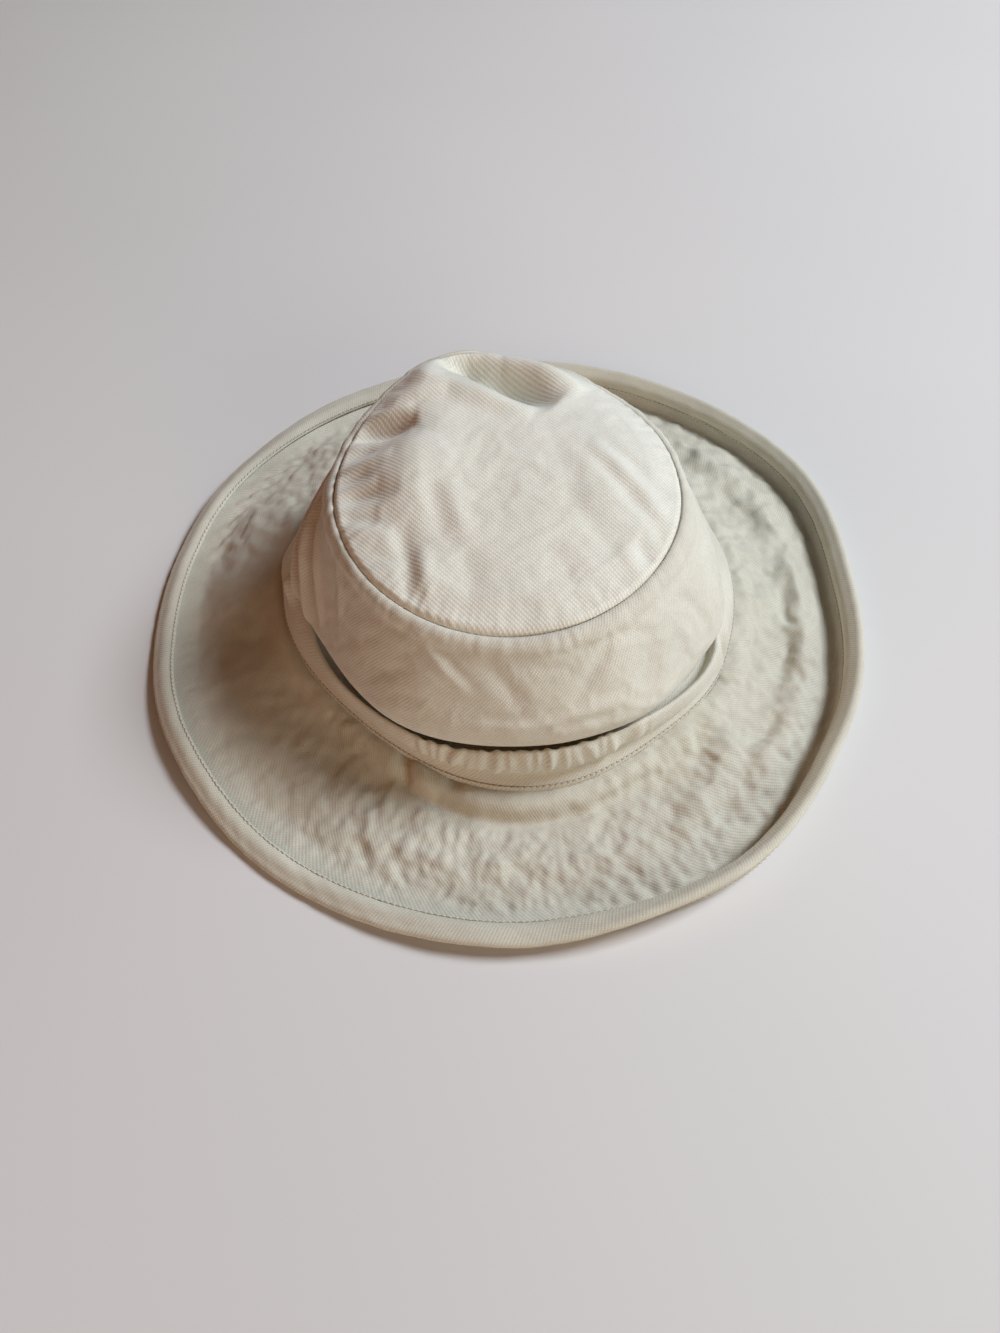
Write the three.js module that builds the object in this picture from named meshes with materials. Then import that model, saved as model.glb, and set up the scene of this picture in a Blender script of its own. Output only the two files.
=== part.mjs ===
// A soft brimmed sun hat in cotton twill, resting on its brim.
// Millimetres, +Z up, the origin on the floor under the middle of the brim, the front towards -Y.
// Azimuths run round the hat in degrees: 0 is its right, 90 its back, 180 its left, 270 its front.

import * as THREE from "three";
import { mergeVertices } from "three/addons/utils/BufferGeometryUtils.js";

// Cloth and clearances
const CLOTH = 1.5; // wall of the crown and the brim
const BINDING_CLOTH = 1; // wall of the strip folded round the brim's edge
const GAP = 0.3; // clearance between pieces that are sewn together

// Mesh steps
const COLUMNS = 64; // round the hat
const STEPS_PER_SPAN = 2; // between two rings of the side panel or two points of the brim's section
const TIP_ROWS = 7; // from the middle of the tip to its seam
const BINDING_STEPS = 2; // from where the binding starts to the brim's edge
const SLOPE_STEP = 0.004; // radians, or share of a sheet, over which its slope is measured
const SEWN = 1e-4; // vertices nearer than this are one

// Where the brim's middle lies from the origin, so that the hat's box is centred on it
const HAT_MIDDLE = { x: 1.7, y: 2.4 };

// Rings of the crown: how far each reaches to the left, right, front and back, where along Y it is
// widest, and how high it runs at its left, right, front and back
const BASE_RING = {
  left: -94, right: 95, front: -102, back: 91, widest: -5,
  zLeft: 19, zRight: 14, zFront: 13.5, zBack: 16,
};
const TIP_RING = {
  left: -63.5, right: 60.5, front: -81, back: 43, widest: -20,
  zLeft: 88, zRight: 88, zFront: 80.5, zBack: 99,
};

// The tip's seam rises and falls along the back: azimuth, half width in degrees and height
const TIP_RIM_WAVES = [
  { azimuth: 116, spread: 40, height: 3.5 },
  { azimuth: 58, spread: 45, height: -5 },
];

// The tuck that the side panel has slumped into, from the base up: the share of the panel's height
// where a ring lies when it hangs straight, as at the back, and its reach and height in the tuck.
// A ring with onBand true belongs to the band under the tuck.
const TUCK_RINGS = [
  {
    share: 0.08, onBand: true, left: -92, right: 92, front: -98.5, widest: -6,
    zLeft: 25, zRight: 20, zFront: 20,
  },
  {
    share: 0.17, onBand: true, left: -92.5, right: 92, front: -100.5, widest: -8,
    zLeft: 31, zRight: 27, zFront: 27,
  },
  {
    share: 0.25, onBand: true, left: -90, right: 89, front: -98, widest: -10,
    zLeft: 36, zRight: 34, zFront: 33.5,
  },
  {
    share: 0.38, onBand: false, left: -77.5, right: 77, front: -85, widest: -24,
    zLeft: 39, zRight: 38, zFront: 36.5,
  },
  {
    share: 0.53, onBand: false, left: -83.5, right: 83, front: -99.5, widest: -29,
    zLeft: 43, zRight: 43, zFront: 40.5,
  },
  {
    share: 0.76, onBand: false, left: -77.5, right: 77, front: -94, widest: -26,
    zLeft: 63, zRight: 62, zFront: 59.5,
  },
];
const TUCK_FADE = { from: -0.1, to: 0.6 }; // sines of the azimuth where the tuck fades and ends
const FOLD_FADE = 0.1; // share of a panel's height over which a fold fades, each side of its end

// Where the band, and the panel over the tuck, are pushed in or out: azimuth, half width, distance
const BAND_DENTS = [
  { azimuth: 230, spread: 46, height: -6.5 },
  { azimuth: 308, spread: 30, height: -3.5 },
  { azimuth: 340, spread: 24, height: 2.5 },
];
const CREST_DENTS = [{ azimuth: 205, spread: 42, height: -5.5 }];

// Folds that run up the side panel: azimuth, half width in degrees, height, and the shares of the
// panel's height between which they stand
const SIDE_FOLDS = [
  { azimuth: 176, spread: 11, height: 2.6, from: 0.05, to: 0.9 },
  { azimuth: 152, spread: 12, height: 2.2, from: 0.1, to: 0.95 },
  { azimuth: 62, spread: 14, height: 2, from: 0.1, to: 0.9 },
  { azimuth: 100, spread: 16, height: -2.6, from: 0.15, to: 0.85 },
];

// Rises and dents of the tip: middle, half widths along X and Y, and height
const TIP_SAG = 2.5;
const TIP_DENTS = [
  { x: -20, y: 30, wide: 24, long: 12, height: 5.5 },
  { x: 9, y: 22, wide: 24, long: 13, height: -4.5 },
  { x: -40, y: 6, wide: 12, long: 9, height: -3.5 },
  { x: -33, y: -44, wide: 12, long: 12, height: -2 },
  { x: 34, y: -20, wide: 15, long: 18, height: 2 },
];

// The brim at twelve azimuths: radius of its outline, angle of the bound lip above the level, how far
// the edge lifts off the floor (it lies flat wherever this is under 0), width of the level part beside
// the seam, drop of the step that follows it, and height of the slope beyond the step
const BRIM_SECTIONS = [
  { azimuth: 0, edge: 149, lip: 55, lift: 0, terrace: 5, step: 3, slope: 6.5 },
  { azimuth: 30, edge: 157, lip: 50, lift: 0, terrace: 5, step: 3, slope: 6.5 },
  { azimuth: 60, edge: 155, lip: 50, lift: 0, terrace: 5, step: 3.5, slope: 6.5 },
  { azimuth: 90, edge: 154.5, lip: 42, lift: 0, terrace: 5, step: 4, slope: 6.5 },
  { azimuth: 120, edge: 154.5, lip: 22, lift: 0, terrace: 5, step: 3.5, slope: 7 },
  { azimuth: 150, edge: 152.5, lip: 0, lift: 2.5, terrace: 4, step: 2.5, slope: 9 },
  { azimuth: 180, edge: 151.7, lip: 0, lift: -1.2, terrace: 4, step: 3, slope: 8.5 },
  { azimuth: 210, edge: 153.8, lip: -8, lift: 4, terrace: 4, step: 3.5, slope: 9 },
  { azimuth: 240, edge: 156.3, lip: 0, lift: -1.2, terrace: 6, step: 5.5, slope: 6.5 },
  { azimuth: 270, edge: 159, lip: 24, lift: 0, terrace: 8.5, step: 5.5, slope: 5.5 },
  { azimuth: 300, edge: 157.5, lip: 74, lift: 0, terrace: 8, step: 5, slope: 6 },
  { azimuth: 330, edge: 151, lip: 66, lift: 0, terrace: 6, step: 4, slope: 6.5 },
];
const STEP_RUN = 5; // level distance over which the step drops
const SLOPE_AT = 0.6; // share of the brim's width where the slope's height is given
const LIP = 11; // width of the bound strip that turns up
const FLOOR_STRIP = 4; // width of the brim that lies on the floor inside the lip's foot
const REST_PRESS = 0.15; // how far the resting cloth is pressed before it is flattened on the floor
const TERRACE_FALL = 0.4; // how far the level part beside the seam falls

// Folds of the brim that run out from the crown: azimuth, half width in degrees and height
const BRIM_FOLDS = [
  { azimuth: 134, spread: 10, height: 2 },
  { azimuth: 160, spread: 10, height: 2.6 },
  { azimuth: 192, spread: 12, height: -2 },
  { azimuth: 318, spread: 10, height: 1.8 },
  { azimuth: 345, spread: 12, height: -1.6 },
  { azimuth: 40, spread: 12, height: 1.6 },
];
const BRIM_FOLD_SPAN = { from: 0.25, to: 0.6 }; // shares of the brim's section that the folds cross

// The binding's legs start this share of the lip out from its foot
const BINDING_FROM = 0.22;

const TWILL = { crown_tip: 0xd0ccc2, crown_side: 0xcdc5b6, brim: 0xc3beb0, brim_binding: 0xc9c3b4 };

const radians = THREE.MathUtils.degToRad;

// How much of a bump of the given half width is felt at an azimuth, 1 in its middle and 0 outside
function bump(azimuth, middle, spread) {
  const turn = THREE.MathUtils.euclideanModulo(azimuth - radians(middle) + Math.PI, 2 * Math.PI) - Math.PI;
  const share = Math.min(1, Math.abs(turn) / radians(spread));
  return (1 + Math.cos(Math.PI * share)) / 2;
}

// The height of a table of folds or waves at an azimuth
function wave(table, azimuth) {
  return table.reduce((sum, row) => sum + row.height * bump(azimuth, row.azimuth, row.spread), 0);
}

// 1 between two shares of the way across a panel, fading to 0 outside them
function between(share, { from, to }) {
  const risen = THREE.MathUtils.smoothstep(share, from - FOLD_FADE, from + FOLD_FADE);
  const fallen = THREE.MathUtils.smoothstep(share, to - FOLD_FADE, to + FOLD_FADE);
  return risen * (1 - fallen);
}

// A ring is two half ellipses that meet where it is widest
function ringPoint(ring, azimuth) {
  const across = Math.cos(azimuth);
  const along = Math.sin(azimuth);
  const back = ring.back ?? 2 * ring.widest - ring.front;
  const depth = along > 0 ? back - ring.widest : ring.widest - ring.front;
  const side = across > 0 ? ring.zRight : ring.zLeft;
  const end = along > 0 ? ring.zBack ?? side : ring.zFront;
  return new THREE.Vector3(
    ring.left + (ring.right - ring.left) * (1 + across) / 2,
    ring.widest + depth * along,
    side * across * across + end * along * along,
  );
}

// A point moved level, out from the middle of the crown
function pushedOut(point, azimuth, distance) {
  return point.add(new THREE.Vector3(Math.cos(azimuth), Math.sin(azimuth), 0).multiplyScalar(distance));
}

function basePoint(azimuth) {
  return pushedOut(ringPoint(BASE_RING, azimuth), azimuth, wave(BAND_DENTS, azimuth));
}

function tipSeamPoint(azimuth) {
  const point = ringPoint(TIP_RING, azimuth);
  point.z += wave(TIP_RIM_WAVES, azimuth);
  return point;
}

// One ring of the side panel: the tuck at the front and sides, a straight slope at the back
function panelPoint(ring, azimuth) {
  const straight = basePoint(azimuth).lerp(tipSeamPoint(azimuth), ring.share);
  const dent = wave(ring.onBand ? BAND_DENTS : CREST_DENTS, azimuth);
  const tucked = pushedOut(ringPoint(ring, azimuth), azimuth, dent);
  const fade = THREE.MathUtils.smoothstep(Math.sin(azimuth), TUCK_FADE.from, TUCK_FADE.to);
  return tucked.lerp(straight, fade);
}

function sidePoint(azimuth, across) {
  const rings = TUCK_RINGS.map((ring) => panelPoint(ring, azimuth));
  const section = new THREE.CatmullRomCurve3([basePoint(azimuth), ...rings, tipSeamPoint(azimuth)]);
  const fold = SIDE_FOLDS.reduce((sum, row) => sum + wave([row], azimuth) * between(across, row), 0);
  return pushedOut(section.getPoint(across), azimuth, fold);
}

// The tip lies on the side panel's top edge, flush with its outer face
function tipPoint(azimuth, across) {
  const rim = tipSeamPoint(azimuth);
  rim.z += CLOTH + GAP;
  const middle = new THREE.Vector3(
    (TIP_RING.left + TIP_RING.right) / 2,
    (TIP_RING.front + TIP_RING.back) / 2,
    (TIP_RING.zFront + TIP_RING.zBack) / 2 + CLOTH + GAP,
  );
  const point = middle.lerp(rim, across);
  const slack = 1 - across ** 4;
  const dents = TIP_DENTS.reduce((sum, { x, y, wide, long, height }) =>
    sum + height * Math.exp(-(((point.x - x) / wide) ** 2) - ((point.y - y) / long) ** 2), 0);
  point.z += slack * (dents - TIP_SAG);
  return point;
}

// A value of the brim's table at any azimuth, smoothed between its rows
function brimValue(azimuth, column) {
  const count = BRIM_SECTIONS.length;
  const place = THREE.MathUtils.euclideanModulo(azimuth / (2 * Math.PI), 1) * count;
  const row = Math.floor(place);
  const share = THREE.MathUtils.smoothstep(place - row, 0, 1);
  const from = BRIM_SECTIONS[row % count];
  const to = BRIM_SECTIONS[(row + 1) % count];
  return THREE.MathUtils.lerp(from[column], to[column], share);
}

// The brim's section: level beside the seam, a step, a slope, a strip on the floor and the lip
function brimSection(azimuth) {
  const value = (column) => brimValue(azimuth, column);
  const seam = basePoint(azimuth);
  seam.z -= GAP + CLOTH / 2;
  const lip = radians(value("lip"));
  const bound = CLOTH / 2 + GAP + BINDING_CLOTH;
  const reach = value("edge") - bound * Math.sin(Math.max(0, lip)) - (GAP + BINDING_CLOTH) * Math.cos(lip);
  const edge = new THREE.Vector3(reach * Math.cos(azimuth), reach * Math.sin(azimuth), 0);
  const out = edge.clone().sub(seam).setZ(0);
  const width = out.length();
  out.normalize();
  const at = (distance, height) => seam.clone().addScaledVector(out, distance).setZ(height);
  const lowest = bound * Math.cos(lip) - LIP * Math.min(BINDING_FROM * Math.sin(lip), Math.sin(lip));
  const floor = Math.max(CLOTH / 2, lowest) + Math.max(0, value("lift")) - REST_PRESS;
  const foot = width - LIP * Math.cos(lip);
  return [
    seam,
    at(value("terrace"), seam.z - TERRACE_FALL),
    at(value("terrace") + STEP_RUN, seam.z - value("step")),
    at(foot * SLOPE_AT, value("slope")),
    at(foot - FLOOR_STRIP, floor),
    at(foot, floor),
    at(width, floor + LIP * Math.sin(lip)),
  ];
}

function brimPoint(azimuth, across) {
  const section = new THREE.CatmullRomCurve3(brimSection(azimuth));
  const point = section.getPoint(across);
  point.z += wave(BRIM_FOLDS, azimuth) * between(across, BRIM_FOLD_SPAN);
  return point;
}

// The direction in which a sheet runs on, across itself
function clothSlope(sheet, azimuth, across) {
  const further = sheet(azimuth, Math.min(1, across + SLOPE_STEP));
  return further.sub(sheet(azimuth, Math.max(0, across - SLOPE_STEP))).normalize();
}

// The direction square to a sheet, out of the crown or down from the brim
function clothNormal(sheet, azimuth, across) {
  const around = sheet(azimuth + SLOPE_STEP, across).sub(sheet(azimuth - SLOPE_STEP, across));
  return around.cross(clothSlope(sheet, azimuth, across)).normalize();
}

function besideSheet(sheet, azimuth, across, distance) {
  return sheet(azimuth, across).addScaledVector(clothNormal(sheet, azimuth, across), distance);
}

const shares = (count, from = 0, to = 1) =>
  Array.from({ length: count + 1 }, (_, step) => THREE.MathUtils.lerp(from, to, step / count));

// The outline of a wall at one azimuth: along one face through its stations and back along the other
function wallOutline(sheet, stations) {
  const face = (azimuth, distance) => stations.map((across) => besideSheet(sheet, azimuth, across, distance));
  return (azimuth) => [...face(azimuth, CLOTH / 2), ...face(azimuth, -CLOTH / 2).reverse()];
}

// The binding's outline: its outer face over the edge from below to above, then its inner face back
function bindingOutline(azimuth) {
  const inner = CLOTH / 2 + GAP;
  const outer = inner + BINDING_CLOTH;
  const edge = brimPoint(azimuth, 1);
  const out = clothSlope(brimPoint, azimuth, 1);
  const down = clothNormal(brimPoint, azimuth, 1);
  const around = (beyond, below) => edge.clone().addScaledVector(out, beyond).addScaledVector(down, below);
  const below = (distance) => bindingStations.map((across) =>
    besideSheet(brimPoint, azimuth, across, distance));
  const above = (distance) => below(-distance).reverse();
  return [
    ...below(outer),
    around(GAP + BINDING_CLOTH, outer / 2),
    around(GAP + BINDING_CLOTH, -outer / 2),
    ...above(outer),
    ...above(inner).reverse(),
    around(GAP, -inner),
    around(GAP, inner),
    ...below(inner).reverse(),
  ];
}

// Moves a grid's vertices, row by row, to the places that a function gives
function placeGrid(grid, rows, place) {
  const positions = grid.attributes.position;
  for (let row = 0; row <= rows; row += 1) {
    for (let column = 0; column <= COLUMNS; column += 1) {
      const point = place(row, 2 * Math.PI * (column % COLUMNS) / COLUMNS);
      positions.setXYZ(row * (COLUMNS + 1) + column, point.x, point.y, Math.max(0, point.z));
    }
  }
  grid.deleteAttribute("uv");
  grid.deleteAttribute("normal");
  const sewn = mergeVertices(grid, SEWN);
  sewn.computeVertexNormals();
  return sewn;
}

// A ring of cloth: a flat blank rolled up so that its outline closes at every azimuth
function clothRing(outline) {
  const rows = outline(0).length;
  const blank = new THREE.PlaneGeometry(1, 1, COLUMNS, rows);
  return placeGrid(blank, rows, (row, azimuth) => outline(azimuth)[(rows - row) % rows]);
}

// A disc of cloth: a ball pressed flat, its upper half the top face and its lower half the underside
function clothDisc(sheet, rowsPerFace) {
  const rows = 2 * rowsPerFace + 1;
  const ball = new THREE.SphereGeometry(1, COLUMNS, rows);
  return placeGrid(ball, rows, (row, azimuth) => {
    const onTop = row <= rowsPerFace;
    const across = (onTop ? row : rows - row) / rowsPerFace;
    const point = sheet(azimuth, across);
    point.z += onTop ? CLOTH / 2 : -CLOTH / 2;
    return point;
  });
}

function sewnPiece(name, geometry) {
  const cloth = new THREE.MeshStandardMaterial({ color: TWILL[name], roughness: 0.9, metalness: 0 });
  const piece = new THREE.Mesh(geometry, cloth);
  piece.name = name;
  return piece;
}

// Where each panel's mesh has its rows, as shares of the way across it
const brimSpans = brimSection(0).length - 1;
const lipFoot = 1 - 1 / brimSpans;
const bindingStations = shares(BINDING_STEPS, lipFoot + BINDING_FROM / brimSpans, 1);
const brimStations = [...shares(STEPS_PER_SPAN * (brimSpans - 1), 0, lipFoot), ...bindingStations];
const sideStations = shares(STEPS_PER_SPAN * (TUCK_RINGS.length + 1));

const hat = new THREE.Group();
hat.add(
  sewnPiece("crown_tip", clothDisc(tipPoint, TIP_ROWS)),
  sewnPiece("crown_side", clothRing(wallOutline(sidePoint, sideStations))),
  sewnPiece("brim", clothRing(wallOutline(brimPoint, brimStations))),
  sewnPiece("brim_binding", clothRing(bindingOutline)),
);
hat.position.set(HAT_MIDDLE.x, HAT_MIDDLE.y, 0);

export default hat;
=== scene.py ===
"""Looks of a soft sun hat in washed cotton twill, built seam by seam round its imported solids.

Sizes in tables are millimetres in the part's frame: +Z up, the front towards -Y. Azimuths run round
the hat in degrees: 0 is its right, 90 its back, 180 its left and 270 its front.
"""

import math
from collections import namedtuple

import bmesh
import bpy
import numpy as np
from bpy.props import FloatProperty, FloatVectorProperty, PointerProperty
from mathutils import Euler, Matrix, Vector, noise


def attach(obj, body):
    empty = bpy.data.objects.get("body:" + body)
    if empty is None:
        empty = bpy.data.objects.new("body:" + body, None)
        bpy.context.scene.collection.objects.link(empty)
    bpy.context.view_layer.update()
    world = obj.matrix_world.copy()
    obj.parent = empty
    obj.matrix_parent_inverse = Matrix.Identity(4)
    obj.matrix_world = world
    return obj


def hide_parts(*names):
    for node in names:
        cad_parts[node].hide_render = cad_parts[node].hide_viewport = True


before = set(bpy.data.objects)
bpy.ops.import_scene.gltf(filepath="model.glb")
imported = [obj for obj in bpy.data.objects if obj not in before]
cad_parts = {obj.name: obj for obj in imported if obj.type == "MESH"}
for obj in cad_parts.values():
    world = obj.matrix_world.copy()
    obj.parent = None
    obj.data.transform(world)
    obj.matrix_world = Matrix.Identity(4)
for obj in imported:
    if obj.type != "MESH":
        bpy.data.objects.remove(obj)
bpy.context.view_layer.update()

bl_info = {
    "name": "Washed Cotton Sun Hat",
    "version": (1, 0, 0),
    "blender": (4, 5, 0),
    "location": "View3D > Sidebar > Sun Hat",
    "description": "Sews the looks of a soft, crumpled sun hat round its packed solids",
    "category": "Object",
}

MM = 0.001
BODY = "root"

# Where the brim's middle lies from the origin
HAT_MIDDLE = (1.7, 2.4, 0.0)

# Rings of the crown: how far each reaches, where along Y it is widest, and how high it runs
Ring = namedtuple("Ring", "left right front back widest z_left z_right z_front z_back")
BASE_RING = Ring(-94, 95, -102, 91, -5, 19, 14, 13.5, 16)
CREST_RING = Ring(-83.5, 83, -98.8, None, -29, 41, 43, 42.5, None)
BELLY_RING = Ring(-77.5, 77, -93.2, None, -26, 63, 62, 60.5, None)
TIP_RING = Ring(-63.5, 60.5, -81, 43, -20, 88, 88, 80.5, 99)

# The tuck round the front, by azimuth: how far out of the base seam the crease above the foot, the bulge
# of the band and its top fold lie, how high that fold rises, the depth and width of the slot behind it,
# and how much of the panel hangs straight instead
TuckSection = namedtuple("TuckSection", "azimuth crease bulge shoulder rise depth slot hang")
TUCK_SECTIONS = [
    TuckSection(140, -1, -4, -9, 20, 1, 0.5, 1),
    TuckSection(168, -1, -4, -9.5, 20, 2, 0.5, 0.3),
    TuckSection(182, -1, -4, -9, 20, 3, 1, 0),
    TuckSection(192, -1.2, -3.6, -9.5, 19, 3, 1, 0),
    TuckSection(199, -1.3, -3.2, -8, 18, 4, 2, 0),
    TuckSection(206, -1.5, -1.8, -4.8, 17, 7.5, 4, 0),
    TuckSection(213, -1.5, -0.8, -2.5, 16, 9, 5, 0),
    TuckSection(221, -1.2, 0.2, -0.8, 14.6, 9, 5.5, 0),
    TuckSection(232, -1.2, 0.3, -0.2, 15, 8.5, 6, 0),
    TuckSection(250, -2.5, 0.8, 0, 18.5, 8, 6, 0),
    TuckSection(270, -4, -1.6, -3.8, 21.8, 8, 6, 0),
    TuckSection(290, -3.5, -1, -2.8, 21.4, 8, 5.5, 0),
    TuckSection(310, -2.5, 1.2, 0.6, 21, 6, 4, 0),
    TuckSection(323, -2, 0.6, 0, 21.4, 4.5, 4, 0),
    TuckSection(330, -1.6, -0.8, -3, 22, 4, 2.5, 0),
    TuckSection(336, -1.5, -2, -7, 23.5, 2.5, 1, 0),
    TuckSection(342, -1.5, -2.8, -8.6, 25, 2, 0.5, 0),
    TuckSection(349, -1.5, -2.5, -8.4, 26, 1.5, 0.5, 0.1),
    TuckSection(362, -1.5, -3, -10.5, 26, 1, 0.5, 0.6),
    TuckSection(378, -1.5, -3, -11, 26, 1, 0.5, 1),
]
TUCK_START = 60  # the azimuth that the table is counted on from
TUCK_BLUR = (-4, -1.5, 1.5, 4)  # degrees over which a column is smoothed
CREASE_RISE = 6.5
BULGE_AT = 0.6  # share of the top fold's rise
TOP_FOLD = 2.2
FULL_DEPTH = 6  # a slot as deep as this has the whole top fold

# Where the rings lie up the panel where it hangs straight, as at the back
STRAIGHT_SHARES = (0.08, 0.17, 0.25, 0.36, 0.39, 0.53, 0.76)

# Waves round the hat: azimuth, half width in degrees and height
Wave = namedtuple("Wave", "azimuth spread height")
TIP_RIM_WAVES = [Wave(116, 40, 3.5), Wave(58, 45, -5), Wave(87, 22, -3.5)]
BAND_DENTS = [Wave(230, 46, -6.5), Wave(308, 30, -3.5), Wave(342, 26, -1.5)]
CREST_DENTS = [Wave(208, 42, -7.3), Wave(326, 26, -3.5)]
BRIM_FOLDS = [
    Wave(134, 10, 2),
    Wave(160, 10, 2.6),
    Wave(192, 12, -2),
    Wave(318, 10, 1.8),
    Wave(345, 12, -1.6),
    Wave(40, 12, 1.6),
]
BRIM_FOLD_SPAN = (0.25, 0.6)

# Folds that run up the side panel, between two shares of its height
SideFold = namedtuple("SideFold", "azimuth spread height low high")
SIDE_FOLDS = [
    SideFold(176, 11, 2.6, 0.05, 0.9),
    SideFold(152, 12, 2.2, 0.1, 0.95),
    SideFold(62, 14, 2, 0.1, 0.9),
    SideFold(100, 16, -2.6, 0.15, 0.85),
]
FOLD_FADE = 0.1

# Rises and dents of the tip: middle, half widths to the left, to the right and along Y, and height
Dent = namedtuple("Dent", "x y left right long height")
TIP_DOME = 6
DENT_FADE = 9  # power of the share of the way to the seam with which the dents fade
TIP_DENTS = [
    Dent(-34, 32, 11, 7, 13, 6),
    Dent(-44, 0, 11, 11, 7, -5),
    Dent(-36, -16, 14, 18, 28, 5),
    Dent(-36, -46, 12, 12, 12, -2),
    Dent(-52, -6, 7, 9, 8, -2),
    Dent(-54, -27, 7, 8, 7, -2.2),
    Dent(-47, -41, 6, 7, 7, -1.6),
    Dent(34, -20, 15, 15, 18, 1.5),
]

# The brim at even azimuths: outline radius, angle of the bound lip, lift of the edge off the floor,
# width of the level part beside the seam, drop of the step beyond it, and height of the slope
BrimSection = namedtuple("BrimSection", "edge lip lift terrace step slope")
BRIM_SECTIONS = [
    BrimSection(149, 63, 0, 5, 3, 6.5),
    BrimSection(157, 60, 0, 5, 3, 6.5),
    BrimSection(155, 60, 0, 5, 3.5, 6.5),
    BrimSection(154.5, 50, 0, 5, 4, 6.5),
    BrimSection(154.5, 24, 0, 5, 3.5, 7),
    BrimSection(152.5, 0, 2.5, 4, 2.5, 9),
    BrimSection(151.7, 0, -1.2, 4, 3, 8.5),
    BrimSection(153.8, -8, 4, 4, 3.5, 9),
    BrimSection(156.3, 0, -1.2, 4, 5, 6.5),
    BrimSection(159, 24, 0, 4.5, 5.5, 5.5),
    BrimSection(157.5, 76, 0, 4.5, 5, 6),
    BrimSection(151, 71, 0, 6, 4, 6.5),
]
STEP_RUN = 5
SLOPE_AT = 0.6  # share of the way to the lip's foot where the slope's height is given
LIP = 12.5
FLOOR_STRIP = 4
BRIM_SPANS = 6
LIP_FOOT = 1 - 1 / BRIM_SPANS
SLOPE_STEP = 0.004  # radians, or share of a sheet, over which its slope is measured

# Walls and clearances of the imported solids
CLOTH = 1.5
BINDING_CLOTH = 1
GAP = 0.3


def linear(code):
    """An sRGB hex colour as linear RGB."""
    parts = [int(code[place:place + 2], 16) / 255 for place in (1, 3, 5)]
    return [part / 12.92 if part <= 0.04045 else ((part + 0.055) / 1.055) ** 2.4 for part in parts]


def smoothstep(value, low, high):
    """Rises smoothly from 0 to 1 as a value goes from low to high."""
    share = np.clip((value - low) / (high - low), 0, 1)
    return share * share * (3 - 2 * share)


def bump(azimuth, middle, spread):
    """How much of a bump is felt at an azimuth: 1 in its middle, 0 outside its half width."""
    turn = (azimuth - math.radians(middle) + math.pi) % (2 * math.pi) - math.pi
    share = np.minimum(1, np.abs(turn) / math.radians(spread))
    return (1 + np.cos(math.pi * share)) / 2


def waves(table, azimuth):
    """The height of all the waves of a table at an azimuth."""
    return sum(row.height * bump(azimuth, row.azimuth, row.spread) for row in table)


def between(share, low, high):
    """1 between two shares of a panel, fading to 0 beyond them."""
    risen = smoothstep(share, low - FOLD_FADE, low + FOLD_FADE)
    fallen = smoothstep(share, high - FOLD_FADE, high + FOLD_FADE)
    return risen * (1 - fallen)


def columns(*values):
    """Numbers and rows of numbers side by side, as the columns of one table."""
    rows = max(np.size(value, 0) for value in values if np.ndim(value))
    tables = [value if np.ndim(value) == 2 else np.reshape(value, (-1, 1)) for value in values]
    parts = [np.broadcast_to(table, (rows, table.shape[1])) for table in tables]
    return np.concatenate(parts, axis=1).astype(float)


def outward(azimuth):
    """Level directions away from the hat's middle."""
    return columns(np.cos(azimuth), np.sin(azimuth), 0.0)


def curve_points(knots, share):
    """Points on smooth curves through the knots, one curve for each azimuth."""
    chain = np.stack([2 * knots[0] - knots[1], *knots, 2 * knots[-1] - knots[-2]])
    place = np.clip(share, 0, 1) * (len(knots) - 1)
    span = np.minimum(place.astype(int), len(knots) - 2)
    weight = (place - span)[:, None]
    curve = np.arange(len(share))
    before, start, end, after = (chain[span + step, curve] for step in range(4))
    run_in, run, run_out = (
        np.sqrt(np.linalg.norm(far - near, axis=1))[:, None]
        for near, far in ((before, start), (start, end), (end, after))
    )
    leave = run * ((start - before) / run_in - (end - before) / (run_in + run) + (end - start) / run)
    arrive = run * ((end - start) / run - (after - start) / (run + run_out) + (after - end) / run_out)
    bend = 3 * (end - start) - 2 * leave - arrive
    swing = 2 * (start - end) + leave + arrive
    return start + weight * (leave + weight * (bend + weight * swing))


def ring_points(ring, azimuth):
    """A ring is two half ellipses that meet where it is widest."""
    across = np.cos(azimuth)
    along = np.sin(azimuth)
    back = 2 * ring.widest - ring.front if ring.back is None else ring.back
    depth = np.where(along > 0, back - ring.widest, ring.widest - ring.front)
    side = np.where(across > 0, ring.z_right, ring.z_left)
    behind = side if ring.z_back is None else ring.z_back
    end = np.where(along > 0, behind, ring.z_front)
    reach = ring.left + (ring.right - ring.left) * (1 + across) / 2
    return columns(reach, ring.widest + depth * along, side * across**2 + end * along**2)


def base_points(azimuth):
    """The base seam, where the side panel meets the brim."""
    return ring_points(BASE_RING, azimuth) + waves(BAND_DENTS, azimuth)[:, None] * outward(azimuth)


def tip_seam_points(azimuth):
    """The seam round the tip."""
    points = ring_points(TIP_RING, azimuth)
    points[:, 2] += waves(TIP_RIM_WAVES, azimuth)
    return points


def tuck_value(azimuth, column):
    """A column of the tuck's table at any azimuth, smoothed across its rows."""
    degrees = (np.degrees(azimuth) - TUCK_START) % 360 + TUCK_START
    places = [row.azimuth for row in TUCK_SECTIONS]
    values = [getattr(row, column) for row in TUCK_SECTIONS]
    return np.mean([np.interp(degrees + shift, places, values) for shift in TUCK_BLUR], axis=0)


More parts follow.
